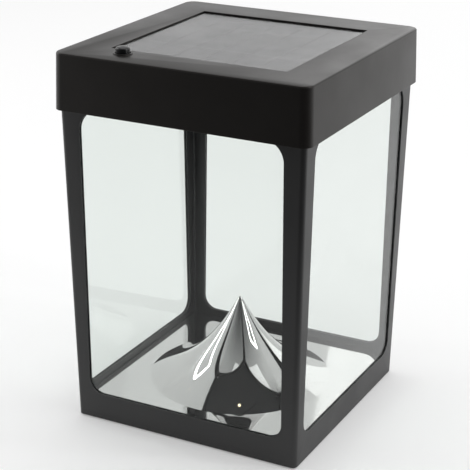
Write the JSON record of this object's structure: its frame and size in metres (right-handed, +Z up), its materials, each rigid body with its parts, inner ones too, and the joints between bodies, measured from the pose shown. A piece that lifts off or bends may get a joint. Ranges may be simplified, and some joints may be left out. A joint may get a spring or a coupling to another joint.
{
  "type": "solar garden light",
  "caption": "Square tapered solar lantern with clear panes, a mirror cone reflector in its base and a lift-off lid that carries a solar panel and a downward lamp.",
  "frame": {"origin": "middle of the surface that the feet stand on", "axes": "+Z up, -Y towards the front pane, +X to the right"},
  "size_m": [0.1414, 0.1414, 0.2055],
  "materials": {
    "black_plastic": "fine satin moulded texture",
    "dark_plastic": "matt moulded",
    "gloss_black": "smooth gloss",
    "clear_acrylic": "polished clear, faint green tint",
    "mirror_coating": "vacuum-metallised mirror",
    "foam_tape": "soft matt foam",
    "zinc_steel": "zinc plated",
    "spring_steel": "drawn wire",
    "black_rubber": "matt",
    "board_laminate": "solder mask",
    "silicon_cell": "dark grey-blue silicon",
    "tinned_copper": "tinned ribbon",
    "panel_resin": "glossy clear cover",
    "warm_led": "clear warm-white epoxy",
    "chip_black": "moulded epoxy",
    "blue_sleeve": "printed-free sleeve",
    "green_sleeve": "plain sleeve",
    "white_nylon": "nylon",
    "wire_sleeve": "PVC sleeve"
  },
  "bodies": {
    "housing": {"body_frame": "black_plastic", "window_front": "clear_acrylic", "window_right": "clear_acrylic", "window_back": "clear_acrylic", "window_left": "clear_acrylic", "reflector_cone": "mirror_coating", "reflector_pads": "foam_tape", "base_plate": "black_plastic", "base_screws": "zinc_steel", "rubber_feet": "black_rubber"},
    "lid": {"lid_cover": "black_plastic", "panel_adhesive": "foam_tape", "panel_board": "board_laminate", "solar_cells": "silicon_cell", "cell_ribbons": "tinned_copper", "panel_glass": "panel_resin", "panel_seal": "black_rubber", "ceiling_plate": "dark_plastic", "ceiling_screws": "zinc_steel", "led_board": "board_laminate", "led_lamp": "warm_led", "control_board": "board_laminate", "driver_chip": "chip_black", "board_inductor": "chip_black", "board_capacitor": "blue_sleeve", "lead_connector": "white_nylon", "switch_body": "chip_black", "battery_holder": "dark_plastic", "battery_cell": "green_sleeve", "battery_spring": "spring_steel", "battery_contact": "spring_steel", "panel_leads": "wire_sleeve", "battery_leads": "wire_sleeve", "led_leads": "wire_sleeve", "switch_leads": "wire_sleeve", "button_spring": "spring_steel"},
    "button": {"power_button": "gloss_black", "switch_plunger": "white_nylon"},
    "cover": {"battery_cover": "dark_plastic"}
  },
  "joints": [
    {"name": "lid_lift", "type": "slide", "parent": "housing", "child": "lid", "axis": [0, 0, 1], "range_m": [0, 0.06]},
    {"name": "button_press", "type": "slide", "parent": "lid", "child": "button", "axis": [0, 0, -1], "range_m": [0, 0.0015], "stiffness_N_per_m": 400, "springref_m": -0.001, "deforming": ["button_spring"]},
    {"name": "cover_slide", "type": "slide", "parent": "lid", "child": "cover", "axis": [1, 0, 0], "range_m": [0, 0.028]}
  ]
}
